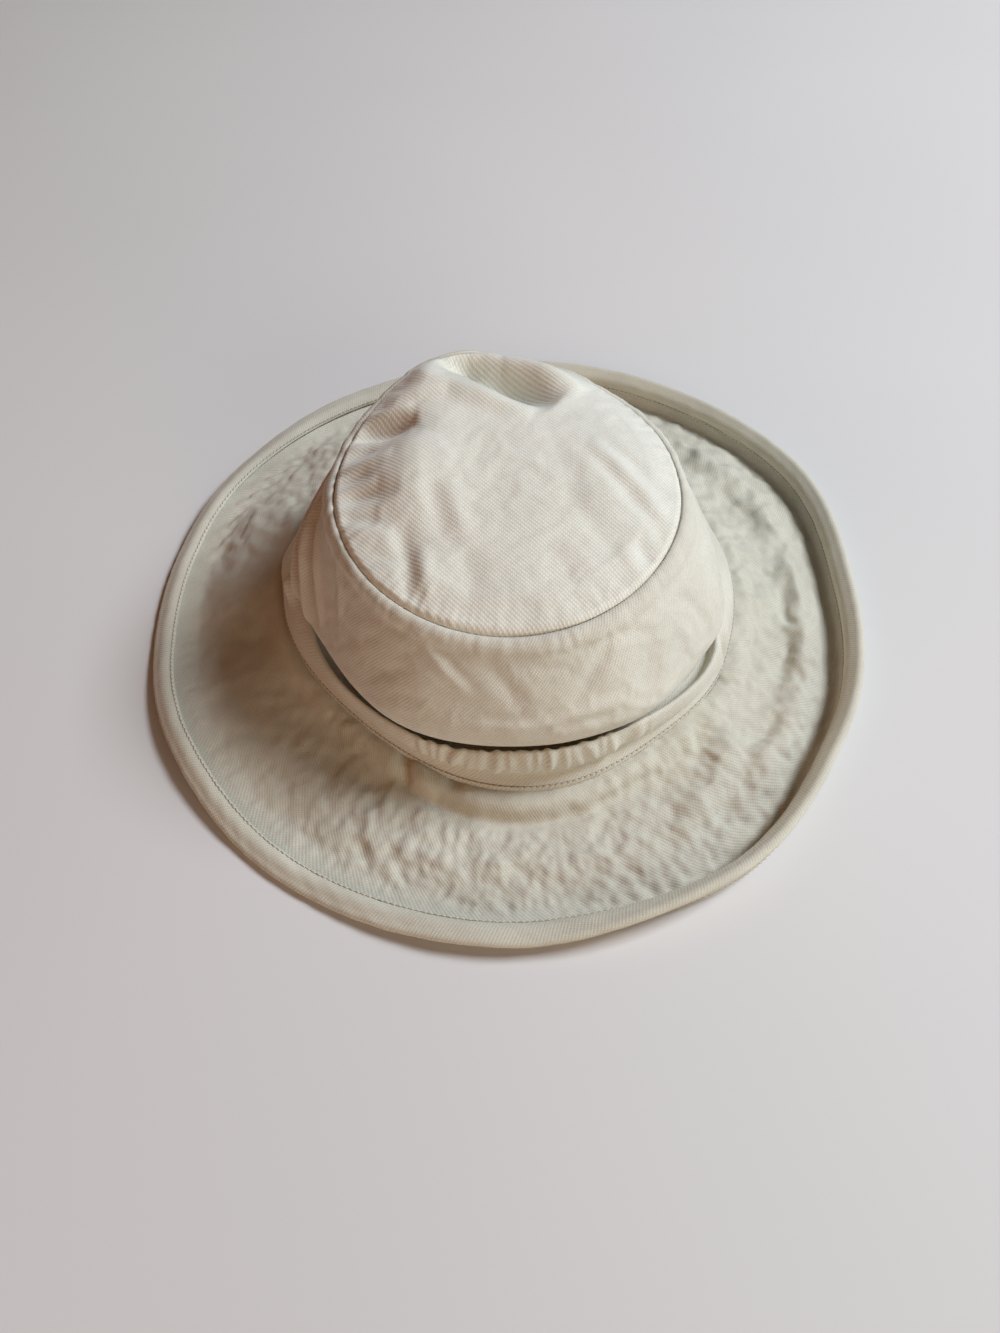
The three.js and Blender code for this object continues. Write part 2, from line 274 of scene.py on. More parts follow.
def tuck_points(azimuth):
    """Points of the tuck, from the crease above the foot to the edge that hangs over the slot."""
    base = base_points(azimuth)
    out = outward(azimuth)
    shoulder = tuck_value(azimuth, "shoulder")
    rise = tuck_value(azimuth, "rise")
    depth = tuck_value(azimuth, "depth")
    behind = shoulder - TOP_FOLD * np.minimum(1, depth / FULL_DEPTH)
    bottom = rise - depth
    band = [
        (tuck_value(azimuth, "crease"), CREASE_RISE),
        (tuck_value(azimuth, "bulge"), BULGE_AT * rise),
        (shoulder, rise),
        (behind, bottom),
        (behind - tuck_value(azimuth, "slot"), bottom),
    ]
    over = waves(CREST_DENTS, azimuth)[:, None] * out
    return [
        *(base + reach[:, None] * out + columns(0 * reach, 0, height) for reach, height in band),
        ring_points(CREST_RING, azimuth) + over,
        ring_points(BELLY_RING, azimuth) + over,
    ]


def side_sheet(azimuth, across):
    """The side panel's middle: tucked at the front and sides, a straight slope at the back."""
    base = base_points(azimuth)
    top = tip_seam_points(azimuth)
    hang = tuck_value(azimuth, "hang")[:, None]
    knots = [base]
    for tucked, share in zip(tuck_points(azimuth), STRAIGHT_SHARES):
        straight = base + share * (top - base)
        knots.append(tucked + hang * (straight - tucked))
    points = curve_points([*knots, top], across)
    folds = sum(
        row.height * bump(azimuth, row.azimuth, row.spread) * between(across, row.low, row.high)
        for row in SIDE_FOLDS
    )
    return points + folds[:, None] * outward(azimuth)


def dent_heights(dent, points):
    """The height of one rise or dent at points of the tip."""
    aside = points[:, 0] - dent.x
    ahead = points[:, 1] - dent.y
    wide = np.where(aside < 0, dent.left, dent.right)
    return dent.height * np.exp(-((aside / wide) ** 2) - (ahead / dent.long) ** 2)


def tip_sheet(azimuth, across):
    """The tip's middle: a slack tilted disc inside its seam."""
    raised = np.array([0, 0, CLOTH + GAP])
    rim = tip_seam_points(azimuth) + raised
    middle = raised + np.array([
        (TIP_RING.left + TIP_RING.right) / 2,
        (TIP_RING.front + TIP_RING.back) / 2,
        (TIP_RING.z_front + TIP_RING.z_back) / 2,
    ])
    points = middle + across[:, None] * (rim - middle)
    tilt = (TIP_RING.z_back - TIP_RING.z_front) / 2 * np.sin(azimuth)
    uneven = rim[:, 2] - middle[2] - tilt
    points[:, 2] = middle[2] + across * tilt + across**3 * uneven
    dents = sum(dent_heights(row, points) for row in TIP_DENTS)
    points[:, 2] += (1 - across**DENT_FADE) * dents + (1 - across**2) * TIP_DOME
    return points


def brim_value(azimuth, column):
    """A column of the brim's table at any azimuth, smoothed between its rows."""
    values = np.array([getattr(row, column) for row in BRIM_SECTIONS], float)
    place = (azimuth / (2 * math.pi)) % 1 * len(values)
    row = place.astype(int) % len(values)
    share = smoothstep(place - np.floor(place), 0, 1)
    return values[row] + share * (values[(row + 1) % len(values)] - values[row])


def brim_sheet(azimuth, across):
    """The brim's middle: level beside the seam, a step, a slope, a strip on the floor and the lip."""
    seam = base_points(azimuth) - np.array([0, 0, GAP + CLOTH / 2])
    lip = np.radians(brim_value(azimuth, "lip"))
    bound = CLOTH / 2 + GAP + BINDING_CLOTH
    reach = brim_value(azimuth, "edge")
    reach = reach - bound * np.sin(np.maximum(0, lip)) - (GAP + BINDING_CLOTH) * np.cos(lip)
    out = reach[:, None] * outward(azimuth) - seam
    out[:, 2] = 0
    width = np.linalg.norm(out, axis=1)
    out /= width[:, None]
    lowest = bound * np.cos(lip) + LIP * np.maximum(0, -np.sin(lip))
    floor = np.maximum(CLOTH / 2, lowest) + np.maximum(0, brim_value(azimuth, "lift"))
    foot = width - LIP * np.cos(lip)
    terrace = brim_value(azimuth, "terrace")

    def at(distance, height):
        points = seam + distance[:, None] * out
        points[:, 2] = height
        return points

    knots = [
        seam,
        at(terrace, seam[:, 2]),
        at(terrace + STEP_RUN, seam[:, 2] - brim_value(azimuth, "step")),
        at(foot * SLOPE_AT, brim_value(azimuth, "slope")),
        at(foot - FLOOR_STRIP, floor),
        at(foot, floor),
        at(width, floor + LIP * np.sin(lip)),
    ]
    points = curve_points(knots, across)
    points[:, 2] += waves(BRIM_FOLDS, azimuth) * between(across, *BRIM_FOLD_SPAN)
    return points


def sheet_normals(sheet, azimuth, across):
    """Directions square to a sheet: out of the crown, up from the tip, and down from the brim."""
    above = np.minimum(1, across + SLOPE_STEP)
    below = np.maximum(0, across - SLOPE_STEP)
    around = sheet(azimuth + SLOPE_STEP, across) - sheet(azimuth - SLOPE_STEP, across)
    normals = np.cross(around, sheet(azimuth, above) - sheet(azimuth, below))
    return normals / np.linalg.norm(normals, axis=1)[:, None]


# Nominal lengths of cloth between the rings of the side panel, and between the points of the brim's
# section. The real ones vary round the hat.
SIDE_SPANS = (7.5, 7, 7, 9.5, 4, 17, 20, 24)
BRIM_SPAN_LENGTHS = (5, 5.8, 20.2, 20, 4, 11)
SIDE_HEIGHT = sum(SIDE_SPANS)
BRIM_WIDTH = sum(BRIM_SPAN_LENGTHS)
TIP_RADIUS = (TIP_RING.right - TIP_RING.left) / 2

# Steps of the meshes before they are subdivided: round the hat, and across each panel
SIDE_STEPS = (240, 45)
BRIM_STEPS = (352, 34)
TIP_STEPS = (75, 75)
BINDING_STEPS = (760, 26)

CLOSER = 0.4  # how much closer together the steps round the hat are at the front

# Nominal lengths of cloth round the panels, and across the binding
SIDE_ROUND = 590
BRIM_ROUND = 830
BINDING_ROUND = 960
BINDING_WIDTH = 28
SIDE_UNIT = np.array([SIDE_ROUND / 360, 1])
BRIM_UNIT = np.array([BRIM_ROUND / 360, 1])

# How high the seam round the tip lies over the side panel, and the width of cloth that turns into it
SEAM_LEVEL = -1.3
SEAM_TURN = 1.7
RIM_DROP = 1.7  # how far the tip's border is drawn down to the side panel
SEAM_ROUND = 1.5  # power with which the turn into the seam sets in
RIM_FROM = 0.8  # share of the way to the tip's seam where its border starts to go down

# How far the turned seam allowance lifts the side panel, and where below the seam it rises and falls
ALLOWANCE = 1.1
ALLOWANCE_RISE = (1, 3.5)
ALLOWANCE_FALL = (5.5, 9)

# Folds drawn on a panel: a ridge, or a valley where its height is under 0, from one place to another.
# Places on the tip are X and Y. On the side and the brim they are the azimuth in degrees and the
# millimetres of cloth from the base seam.
Fold = namedtuple("Fold", "start end width height")
FOLD_TAPER = 0.7  # power with which a fold thins out to its ends
TIP_FOLD_FADE = 14  # power of the share of the way to the seam with which the tip's folds fade
TIP_FOLDS = [
    Fold((-23, 62), (-18, 28), 6, -10),
    Fold((-28, 42), (17, 13), 6.5, -12),
    Fold((-20, 54), (28, 22), 6, 5),
    Fold((-58, 13), (-24, 16), 3.6, 1.6),
    Fold((-38, 25), (8, 5), 5, 3),
    Fold((-63, 3), (-34, 3.5), 3.2, -4.2),
    Fold((-60, 8.5), (-36, 9), 2.6, 2.2),
    Fold((-64, -3), (-40, -1), 3, 1.2),
    Fold((-66, -9), (-49, -6), 3, -1.6),
    Fold((-66, -15), (-42, -13), 3, 1.2),
    Fold((-66, -21), (-50, -19), 3, -1.6),
    Fold((-64, -28), (-39, -30), 3.4, -1.7),
    Fold((-62, -24), (-47, -24), 2.4, 1),
    Fold((-62, -37), (-46, -38), 3, -1.6),
    Fold((-60, -42), (-40, -45), 2.8, 1),
    Fold((-50, -50), (-38, -56), 3.4, -1.2),
    Fold((-38, -42), (-33, -74), 3.4, -2),
    Fold((-31, -50), (-27, -74), 3, 1),
    Fold((-29, -26), (-20, -54), 4, -1),
    Fold((-23, -26), (-14, -52), 4.5, 0.7),
    Fold((-19, -46), (-11, -72), 5, -0.8),
    Fold((12, -4), (26, -34), 7, -0.8),
    Fold((24, -9), (55, -48), 3, -0.9),
    Fold((31, -4), (58, -32), 3, -0.8),
    Fold((28, -6), (56, -40), 2.6, 0.7),
    Fold((16, -26), (36, -54), 5, -0.8),
    Fold((42, -48), (51, -60), 2, -1.5),
    Fold((37, -50), (45, -64), 2.6, 0.7),
    Fold((10, -48), (22, -74), 6, -0.7),
]
SIDE_CREASES = [
    Fold((243, 90), (259, 75), 2.2, 1),
    Fold((247, 90), (262, 74), 2.6, -0.8),
    Fold((262, 89), (274, 68), 4, -0.8),
    Fold((300, 89), (284, 68), 4, -0.8),
    Fold((262, 91), (288, 90.5), 1.6, 0.7),
    Fold((257, 87.5), (290, 86.5), 1.5, 0.5),
    Fold((248, 59), (302, 65), 2.6, 0.5),
    Fold((256, 66), (296, 60), 3, -0.4),
    Fold((160, 90), (184, 46), 2.8, 3),
    Fold((166, 91), (189, 46), 2.2, -3),
    Fold((171, 91), (193, 48), 2.4, 3),
    Fold((176, 90), (198, 54), 2.2, -2.2),
    Fold((181, 88), (201, 60), 2.4, 1.6),
    Fold((204, 90), (214, 62), 4, 0.7),
    Fold((226, 58), (243, 80), 5, -0.6),
    Fold((304, 58), (312, 84), 8, -1.6),
    Fold((330, 54), (320, 84), 4, 0.6),
    Fold((338, 56), (328, 86), 3.5, -0.6),
    Fold((332, 5), (334, 20), 2.2, -2.6),
    Fold((328, 8), (330, 22), 2.6, 1.4),
    Fold((336.5, 4), (338, 20), 2.6, 1.3),
    Fold((236, 8), (300, 8), 1.8, -1.3),
]
BRIM_CREASES = [
    Fold((242, -2), (247, 12), 3, -2),
    Fold((246, 10.5), (262, 12.5), 2.8, -2.1),
    Fold((245, 1), (254, 9), 5, 2.2),
    Fold((254, -3), (259, 7), 2.8, -1.4),
    Fold((254, 7), (282, 7), 3.4, 1.1),
    Fold((258, 12.5), (284, 12), 2.8, -1.8),
    Fold((278, 7), (306, 5.5), 3.4, 0.9),
    Fold((276, 12), (304, 10.5), 3, -1.4),
    Fold((300, 7), (318, 11), 3, 0.6),
    Fold((154, 60), (139, 37), 2.8, 1.8),
    Fold((151, 60), (136, 37), 2.8, -1.5),
    Fold((160, 60), (146, 38), 2.8, 1.7),
    Fold((157.5, 60), (143, 38), 2.8, -1.4),
    Fold((166, 59), (154, 40), 2.6, 1.4),
    Fold((163, 59), (151, 40), 2.6, -1.2),
    Fold((148, 59), (133, 36), 3, 1.6),
    Fold((172, 59), (162, 42), 2.6, 1.1),
    Fold((322, 18), (298, 31), 5, 2.2),
    Fold((320, 30), (300, 38), 4, -2),
    Fold((330, -2), (332, 8), 2.4, -1.6),
    Fold((335, -2), (337, 9), 3, 1.3),
    Fold((312, 25), (372, 23), 6, -2.4),
    Fold((362, 23), (412, 21), 6, -1.8),
    Fold((314, 36), (374, 35), 5.5, 2.2),
    Fold((364, 35), (414, 33), 5.5, 1.7),
    Fold((318, 24), (334, 33), 4, -1.8),
    Fold((337, 26), (351, 29), 2.6, -1.5),
    Fold((341, 31), (356, 33), 2.6, 1.4),
    Fold((352, 28), (363, 26), 2.4, -1.4),
    Fold((356, 34), (370, 31), 2.6, 1.4),
    Fold((366, 27), (376, 30), 2.4, -1.5),
    Fold((374, 31), (388, 29), 2.6, 1.4),
    Fold((380, 26), (394, 24), 2.6, -1.5),
    Fold((390, 31), (404, 28), 3, 1.2),
    Fold((396, 25), (410, 22), 3, -1.3),
]

# The corner of the folded band that stands out at the left
DOG_EAR = Fold((189, 25), (191, 14), 5, 5.5)

# Gathers of the band under the tuck: from one azimuth to another, the degrees over which they fade,
# their spacing and height, how far they wander, and how uneven they are
Gathers = namedtuple("Gathers", "low high fade spacing height wander uneven")
BAND_GATHERS = Gathers(242, 306, 9, 5, 1, 7, 1.4)
GATHERS_RISE = (8, 11)
GATHERS_FALL = (22, 27)

# Puckers beside a seam: their spacing, how far they reach from it, and their height
Puckers = namedtuple("Puckers", "spacing reach height")
TIP_PUCKERS = Puckers(3, 6, 0.5)
SIDE_PUCKERS = Puckers(2.6, 5, 0.5)
BRIM_PUCKERS = Puckers(3, 7, 0.6)
LEFT_PUCKERS = Wave(200, 80, 1.2)  # how much higher the tip's puckers are at the left
LIP_LINE = 57  # how far from the base seam the brim's outer puckers start
LIP_RADIUS = 145

# How the cloth crumples as it settles: how much it grows, and how firmly its form holds it
Crumple = namedtuple("Crumple", "growth hold bend seed grain patch")
TIP_CRUMPLE = Crumple(0.006, 0.22, 0.02, 0.22, 8, 22)
SIDE_CRUMPLE = Crumple(0.018, 0.3, 0.02, 0.25, 8, 20)
BRIM_CRUMPLE = Crumple(0.034, 0.3, 0.01, 0.4, 6, 16)
CALM = 0.35  # the share of a panel's cloth that doesn't grow, and how much it varies in patches
CALM_PATCHES = 0.8

# Where the panels are held while they crumple, in millimetres from a seam
TIP_HELD = 5
SIDE_HELD = (1, 5)
BAND_HELD = (46, 60)
BAND_HOLD = 0.8
BRIM_HELD_BASE = (1, 4)
BRIM_HELD_LIP = (51, 56)

# Where the brim lies smooth: at the left, on the level part in front, and by the lip at the right
LEFT_SMOOTH = Wave(200, 62, 0.9)
LEVEL_SMOOTH = Wave(270, 50, 0.8)
LEVEL_ENDS = (14, 20)
LIP_SMOOTH = Wave(0, 60, 0.7)
LIP_STARTS = (40, 48)

# Small bumps of the washed brim: their size and height
Bumps = namedtuple("Bumps", "grain height")
BRIM_BUMPS = [Bumps(3.4, 0.6), Bumps(5, 0.7), Bumps(9, 0.9)]
BUMPS_FADE = (50, 57)
SETTLE_SCALE = 10  # the cloth settles ten times as large, the size that its springs are tuned for
SETTLE_FRAMES = 16

# Stitches: how round they are drawn, and how far their rows lie from the edge of their cloth
STITCH_SIDES = 6
STITCH_STEPS = 7
STITCH_LIFT = 0.35  # shares of the thread's thickness
STITCH_DIP = 0.45
BASE_ROW = 1.6
FOOT_SUNK = 0.9  # how far the side panel's lower edge sinks into the brim
BINDING_ROW = 1.3
ROW_POINTS = 4000
ROW_FACING = 0.4  # share of the lip where the direction of the binding's stitches is taken
CROWN_MIDDLE = -20  # where along Y the crown's middle lies


def place_vertices(mesh, points):
    """Moves the vertices of a mesh to points in millimetres from the hat's middle."""
    for vertex, point in zip(mesh.verts, (points + HAT_MIDDLE) * MM):
        vertex.co = point


def closer_in_front(share):
    """The azimuth at a share of the way round, with the steps closer together at the front."""
    return 2 * math.pi * share + CLOSER * np.sin(2 * math.pi * (share - 0.25))


def cloth_blank(steps, size):
    """A flat blank of cloth as a grid, each vertex's azimuth and its millimetres from the lower edge."""
    mesh = bmesh.new()
    weave = mesh.loops.layers.uv.new("weave")
    bmesh.ops.create_grid(mesh, x_segments=steps[0], y_segments=steps[1], size=0.5)
    flat = np.array([vertex.co for vertex in mesh.verts]) + 0.5
    azimuth = closer_in_front(flat[:, 0])
    along = flat[:, 1] * size[1]
    places = columns(azimuth / (2 * math.pi) * size[0], along)
    for vertex, place in zip(mesh.verts, places):
        for loop in vertex.link_loops:
            loop[weave].uv = place
    note_places(mesh, azimuth, along)
    return mesh, azimuth, along


def note_places(mesh, azimuth, along):
    """Notes where each vertex lies on its panel, so that it can be told once the cloth has settled."""
    noted = mesh.verts.layers.float_vector.new("place")
    for vertex, place in zip(mesh.verts, columns(np.cos(azimuth), np.sin(azimuth), along)):
        vertex[noted] = place


def noted_places(mesh):
    """The azimuths and millimetres that note_places kept."""
    noted = mesh.verts.layers.float_vector["place"]
    places = np.array([vertex[noted] for vertex in mesh.verts])
    return np.arctan2(places[:, 1], places[:, 0]) % (2 * math.pi), places[:, 2]


def push_out(mesh, heights):
    """Moves each vertex out from the face by a height in millimetres."""
    mesh.normal_update()
    moves = [vertex.normal * (height * MM) for vertex, height in zip(mesh.verts, heights)]
    for vertex, move in zip(mesh.verts, moves):
        vertex.co += move


def panel_shares(lengths, distance):
    """Where a distance along the cloth lies among the rings of a panel, as a share of their count."""
    ends = np.concatenate([[0], np.cumsum(lengths)])
    return np.interp(distance, ends, np.linspace(0, 1, len(ends)))


def fold_heights(folds, places, unit, whole=None):
    """Heights of drawn folds, which thin out towards their ends, at places on a panel."""
    heights = np.zeros(len(places))
    for fold in folds:
        run = np.subtract(fold.end, fold.start) * unit
        offset = (places - fold.start) * unit
        if whole:
            turn = whole * unit[0]
            offset[:, 0] = (offset[:, 0] + turn / 2) % turn - turn / 2
        share = np.clip(offset @ run / (run @ run), 0, 1)
        distance = np.linalg.norm(offset - share[:, None] * run, axis=1)
        beside = np.exp(-((distance / fold.width) ** 2))
        heights += fold.height * np.sin(math.pi * share) ** FOLD_TAPER * beside
    return heights


def grain_noise(places, grain):
    """Smooth noise from -1 to 1 at places in millimetres, with lumps of the given sizes."""
    return np.array([noise.noise(Vector(place)) for place in places / np.asarray(grain)])


def sew_closed(mesh, facing):
    """Closes a rolled blank where its ends meet, with its faces towards a direction at each vertex."""
    bmesh.ops.remove_doubles(mesh, verts=mesh.verts, dist=1e-6)
    bmesh.ops.recalc_face_normals(mesh, faces=mesh.faces)
    mesh.normal_update()
    agreement = sum(vertex.normal.dot(facing(vertex.co)) for vertex in mesh.verts)
    if agreement < 0:
        bmesh.ops.reverse_faces(mesh, faces=mesh.faces)


def settle_cloth(mesh, holds, calms, style):
    """Lets a sheet grow against what holds it, so that it crumples, and gives it back subdivided."""
    deform = mesh.verts.layers.deform.verify()
    for vertex, hold, calm in zip(mesh.verts, holds, calms):
        vertex[deform][0] = hold
        vertex[deform][1] = calm
    bmesh.ops.scale(mesh, vec=(SETTLE_SCALE,) * 3, verts=mesh.verts)
    data = bpy.data.meshes.new("settling")
    mesh.to_mesh(data)
    mesh.clear()
    sheet = bpy.data.objects.new("settling", data)
    sheet.vertex_groups.new(name="hold")
    sheet.vertex_groups.new(name="calm")
    scene = bpy.context.scene
    scene.collection.objects.link(sheet)
    cloth = sheet.modifiers.new("settle", "CLOTH")
    cloth.settings.quality = 5
    cloth.settings.mass = 0.3
    cloth.settings.bending_stiffness = style.bend
    cloth.settings.shrink_min = -style.growth
    cloth.settings.shrink_max = 0
    cloth.settings.vertex_group_shrink = "calm"
    cloth.settings.vertex_group_mass = "hold"
    cloth.settings.effector_weights.gravity = 0
    cloth.collision_settings.use_collision = False
    for step in range(SETTLE_FRAMES):
        scene.frame_set(step + 1)
    finer = sheet.modifiers.new("finer", "SUBSURF")
    finer.levels = 1
    finer.render_levels = 1
    finer.uv_smooth = "NONE"
    settled = sheet.evaluated_get(bpy.context.evaluated_depsgraph_get()).to_mesh()
    mesh.from_mesh(settled)
    bpy.data.objects.remove(sheet)
    bpy.data.meshes.remove(data)
    scene.frame_set(1)
    bmesh.ops.scale(mesh, vec=(1 / SETTLE_SCALE,) * 3, verts=mesh.verts)
    mesh.normal_update()


def finish_piece(mesh, name, material, wall=None):
    """Makes a piece of a mesh: shaded smooth, with its wall laid inside its outer face."""
    data = bpy.data.meshes.new(name)
    mesh.to_mesh(data)
    mesh.free()
    data.shade_smooth()
    data.materials.append(material)
    piece = bpy.data.objects.new(name, data)
    bpy.context.scene.collection.objects.link(piece)
    if wall:
        thickness = piece.modifiers.new("cloth wall", "SOLIDIFY")
        thickness.thickness = wall
        thickness.offset = -1
    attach(piece, BODY)
    return piece


def add_node(tree, kind, inputs=None, **settings):
    """Adds a node, makes its settings, and sets or links each input that is named."""
    made = tree.nodes.new(kind)
    for name, value in settings.items():
        setattr(made, name, value)
    for name, value in (inputs or {}).items():
        if isinstance(value, bpy.types.NodeSocket):
            tree.links.new(value, made.inputs[name])
        else:
            made.inputs[name].default_value = value
    return made


WAVE_TURN = math.pi / 10  # a wave texture of scale 1 repeats over this length

# The twill of each panel: the slant of its wales in degrees, and a tone that is painted light and shade,
# brightening the tip and darkening the side, brim and binding with a slight shift of hue, as the panels look
# unlike
Twill = namedtuple("Twill", "panel slant tint")
TIP_TWILL = Twill("tip", -49, (1.08, 1.115, 1.1))
SIDE_TWILL = Twill("side", 45, (0.95, 0.965, 0.93))
BRIM_TWILL = Twill("brim", 40, (0.85, 0.86, 0.805))
BINDING_TWILL = Twill("binding", 20, (0.88, 0.885, 0.82))


def bare_material(name):
    """A new material and its empty node tree."""
    material = bpy.data.materials.new(name)
    material.use_nodes = True
    material.node_tree.nodes.clear()
    return material, material.node_tree


def cotton_twill(scene, twill):
    """Washed cotton twill: matt, with fine broken wales on the slant, cloudy wear, and a tone of its own
    that is painted light and shade.
    """
    material, tree = bare_material(f"washed cotton twill, {twill.panel}")
    colours = scene.sun_hat_colours
    spacing = scene.sun_hat_sizes.wale_spacing / MM
    weave = add_node(tree, "ShaderNodeUVMap", uv_map="weave")
    slant = add_node(tree, "ShaderNodeMapping", {
        "Vector": weave.outputs["UV"],
        "Rotation": (0, 0, math.radians(twill.slant)),
    })
    wales = add_node(tree, "ShaderNodeTexWave", {
        "Vector": slant.outputs["Vector"],
        "Scale": WAVE_TURN / spacing,
        "Distortion": 1.1,
        "Detail": 2,
        "Detail Scale": 0.35,
    }, wave_type="BANDS", bands_direction="X")
    picks = add_node(tree, "ShaderNodeTexWave", {
        "Vector": slant.outputs["Vector"],
        "Scale": WAVE_TURN / (spacing * 0.8),
        "Distortion": 1.6,
        "Detail": 2,
        "Detail Scale": 0.5,
    }, wave_type="BANDS", bands_direction="Y")
    slubs = add_node(tree, "ShaderNodeTexNoise", {
        "Vector": weave.outputs["UV"],
        "Scale": 1 / 1.2,
        "Detail": 3,
        "Roughness": 0.6,
    })
    place = add_node(tree, "ShaderNodeTexCoord")
    wear = add_node(tree, "ShaderNodeTexNoise", {
        "Vector": place.outputs["Object"],
        "Scale": 1 / (26 * MM),
        "Detail": 5,
        "Roughness": 0.62,
    })
    broken = add_node(tree, "ShaderNodeMapRange", {
        "Value": picks.outputs["Fac"],
        "To Min": 0.25,
        "To Max": 1.0,
    })
    threads = add_node(tree, "ShaderNodeMath", {
        0: wales.outputs["Fac"],
        1: broken.outputs["Result"],
    }, operation="MULTIPLY")
    relief = add_node(tree, "ShaderNodeMath", {
        0: threads.outputs["Value"],
        1: slubs.outputs["Fac"],
    }, operation="ADD")
    shade = add_node(tree, "ShaderNodeMapRange", {
        "Value": relief.outputs["Value"],
        "From Min": 0.25,
        "From Max": 1.1,
        "To Min": 0.5,
        "To Max": 0.0,
    })
    worn = add_node(tree, "ShaderNodeMapRange", {
        "Value": wear.outputs["Fac"],
        "From Min": 0.35,
        "From Max": 0.65,
        "To Min": 0.0,
        "To Max": 0.25,
    })
    aged = add_node(tree, "ShaderNodeMath", {
        0: shade.outputs["Result"],
        1: worn.outputs["Result"],
    }, operation="ADD")
    colour = add_node(tree, "ShaderNodeMix", {
        "Factor": aged.outputs["Value"],
        "A": (*colours.cotton, 1),
        "B": (*colours.cotton_shade, 1),
    }, data_type="RGBA")
    # painted light and shade: each panel's tone brightens or darkens the same cotton
    painted_light_colour = add_node(tree, "ShaderNodeVectorMath", {
        0: colour.outputs["Result"],
        1: twill.tint,
    }, operation="MULTIPLY")
    height = add_node(tree, "ShaderNodeBump", {
        "Strength": 0.32,
        "Distance": 0.25 * MM,
        "Height": relief.outputs["Value"],
    })
    cloth = add_node(tree, "ShaderNodeBsdfPrincipled", {
        "Base Color": painted_light_colour.outputs["Vector"],
        "Roughness": 0.92,
        "IOR": 1.46,
        "Specular IOR Level": 0.25,
        "Sheen Weight": 0.18,
        "Sheen Roughness": 0.5,
        "Normal": height.outputs["Normal"],
    })
    add_node(tree, "ShaderNodeOutputMaterial", {"Surface": cloth.outputs["BSDF"]})
    return material


def cotton_thread(colours):
    """Spun sewing thread: pale and matt, with painted shade where each stitch goes down its needle hole."""
    material, tree = bare_material("cotton thread")
    place = add_node(tree, "ShaderNodeTexCoord")
    fibres = add_node(tree, "ShaderNodeTexNoise", {
        "Vector": place.outputs["Object"],
        "Scale": 1 / (0.6 * MM),
        "Detail": 3,
    })
    colour = add_node(tree, "ShaderNodeMix", {
        "Factor": fibres.outputs["Fac"],
        "A": (*colours.thread, 1),
        "B": (*colours.cotton_shade, 1),
    }, data_type="RGBA")
    # painted shade: the thread darkens where it dips into the cloth, standing in for the shade in each
    # needle hole
    sunk = add_node(tree, "ShaderNodeAttribute", attribute_name="sunk")
    hole = add_node(tree, "ShaderNodeMapRange", {
        "Value": sunk.outputs["Fac"],
        "From Min": 0.72,
        "From Max": 0.98,
    }, interpolation_type="SMOOTHSTEP")
    hole_shaded = add_node(tree, "ShaderNodeMix", {
        "Factor": hole.outputs["Result"],
        "A": colour.outputs["Result"],
        "B": (*colours.painted_hole_shade, 1),
    }, data_type="RGBA")
    thread = add_node(tree, "ShaderNodeBsdfPrincipled", {
        "Base Color": hole_shaded.outputs["Result"],
        "Roughness": 0.75,
        "IOR": 1.5,
        "Sheen Weight": 0.15,
    })
    add_node(tree, "ShaderNodeOutputMaterial", {"Surface": thread.outputs["BSDF"]})
    return material


def painted_board(colours):
    """A matt painted board: pale, with a faint unevenness."""
    material, tree = bare_material("painted board")
    place = add_node(tree, "ShaderNodeTexCoord")
    cloud = add_node(tree, "ShaderNodeTexNoise", {
        "Vector": place.outputs["Object"],
        "Scale": 1 / (220 * MM),
        "Detail": 2,
    })
    tone = add_node(tree, "ShaderNodeMapRange", {
        "Value": cloud.outputs["Fac"],
        "To Min": 0.96,
        "To Max": 1.02,
    })
    colour = add_node(tree, "ShaderNodeVectorMath", {
        0: colours.floor,
        1: tone.outputs["Result"],
    }, operation="MULTIPLY")
    board = add_node(tree, "ShaderNodeBsdfPrincipled", {
        "Base Color": colour.outputs["Vector"],
        "Roughness": 0.6,
        "Specular IOR Level": 0.2,
    })
    add_node(tree, "ShaderNodeOutputMaterial", {"Surface": board.outputs["BSDF"]})
    return material


class SunHatSizes(bpy.types.PropertyGroup):
    """Sizes of the cloth and the stitches"""

    cloth_wall: FloatProperty(
        name="Cloth wall", description="Thickness of the cotton", default=0.9 * MM,
        subtype="DISTANCE", unit="LENGTH",
    )
    wale_spacing: FloatProperty(
        name="Wale spacing", default=1.15 * MM, subtype="DISTANCE", unit="LENGTH",
        description="From one slanting wale to the next, drawn coarser than the real 1 mm so that it shows",
    )
    stitch_pitch: FloatProperty(
        name="Stitch pitch", description="From one stitch to the next", default=2.3 * MM,
        subtype="DISTANCE", unit="LENGTH",
    )
    thread: FloatProperty(
        name="Thread", description="Thickness of the sewing thread", default=0.55 * MM,
        subtype="DISTANCE", unit="LENGTH",
    )


class SunHatColours(bpy.types.PropertyGroup):
    """Colours of the cloth, the thread and the floor"""

    cotton: FloatVectorProperty(
        name="Cotton", description="The washed cotton where it is clean", subtype="COLOR", size=3,
        default=linear("#e4e0d6"),
    )
    cotton_shade: FloatVectorProperty(
        name="Cotton shade", description="The cotton between its wales and where it is worn",
        subtype="COLOR", size=3, default=linear("#b4ac9e"),
    )
    thread: FloatVectorProperty(
        name="Thread", description="The sewing thread", subtype="COLOR", size=3,
        default=linear("#d9d3c4"),
    )
    # painted shade of the needle holes, laid on the thread where it dips into the cloth
    painted_hole_shade: FloatVectorProperty(
        name="Needle hole", description="Where the thread goes down into the cloth", subtype="COLOR", size=3,
        default=linear("#7a6854"),
    )
    floor: FloatVectorProperty(
        name="Floor", description="The pale board under the hat", subtype="COLOR", size=3,
        default=linear("#dddbd8"),
    )


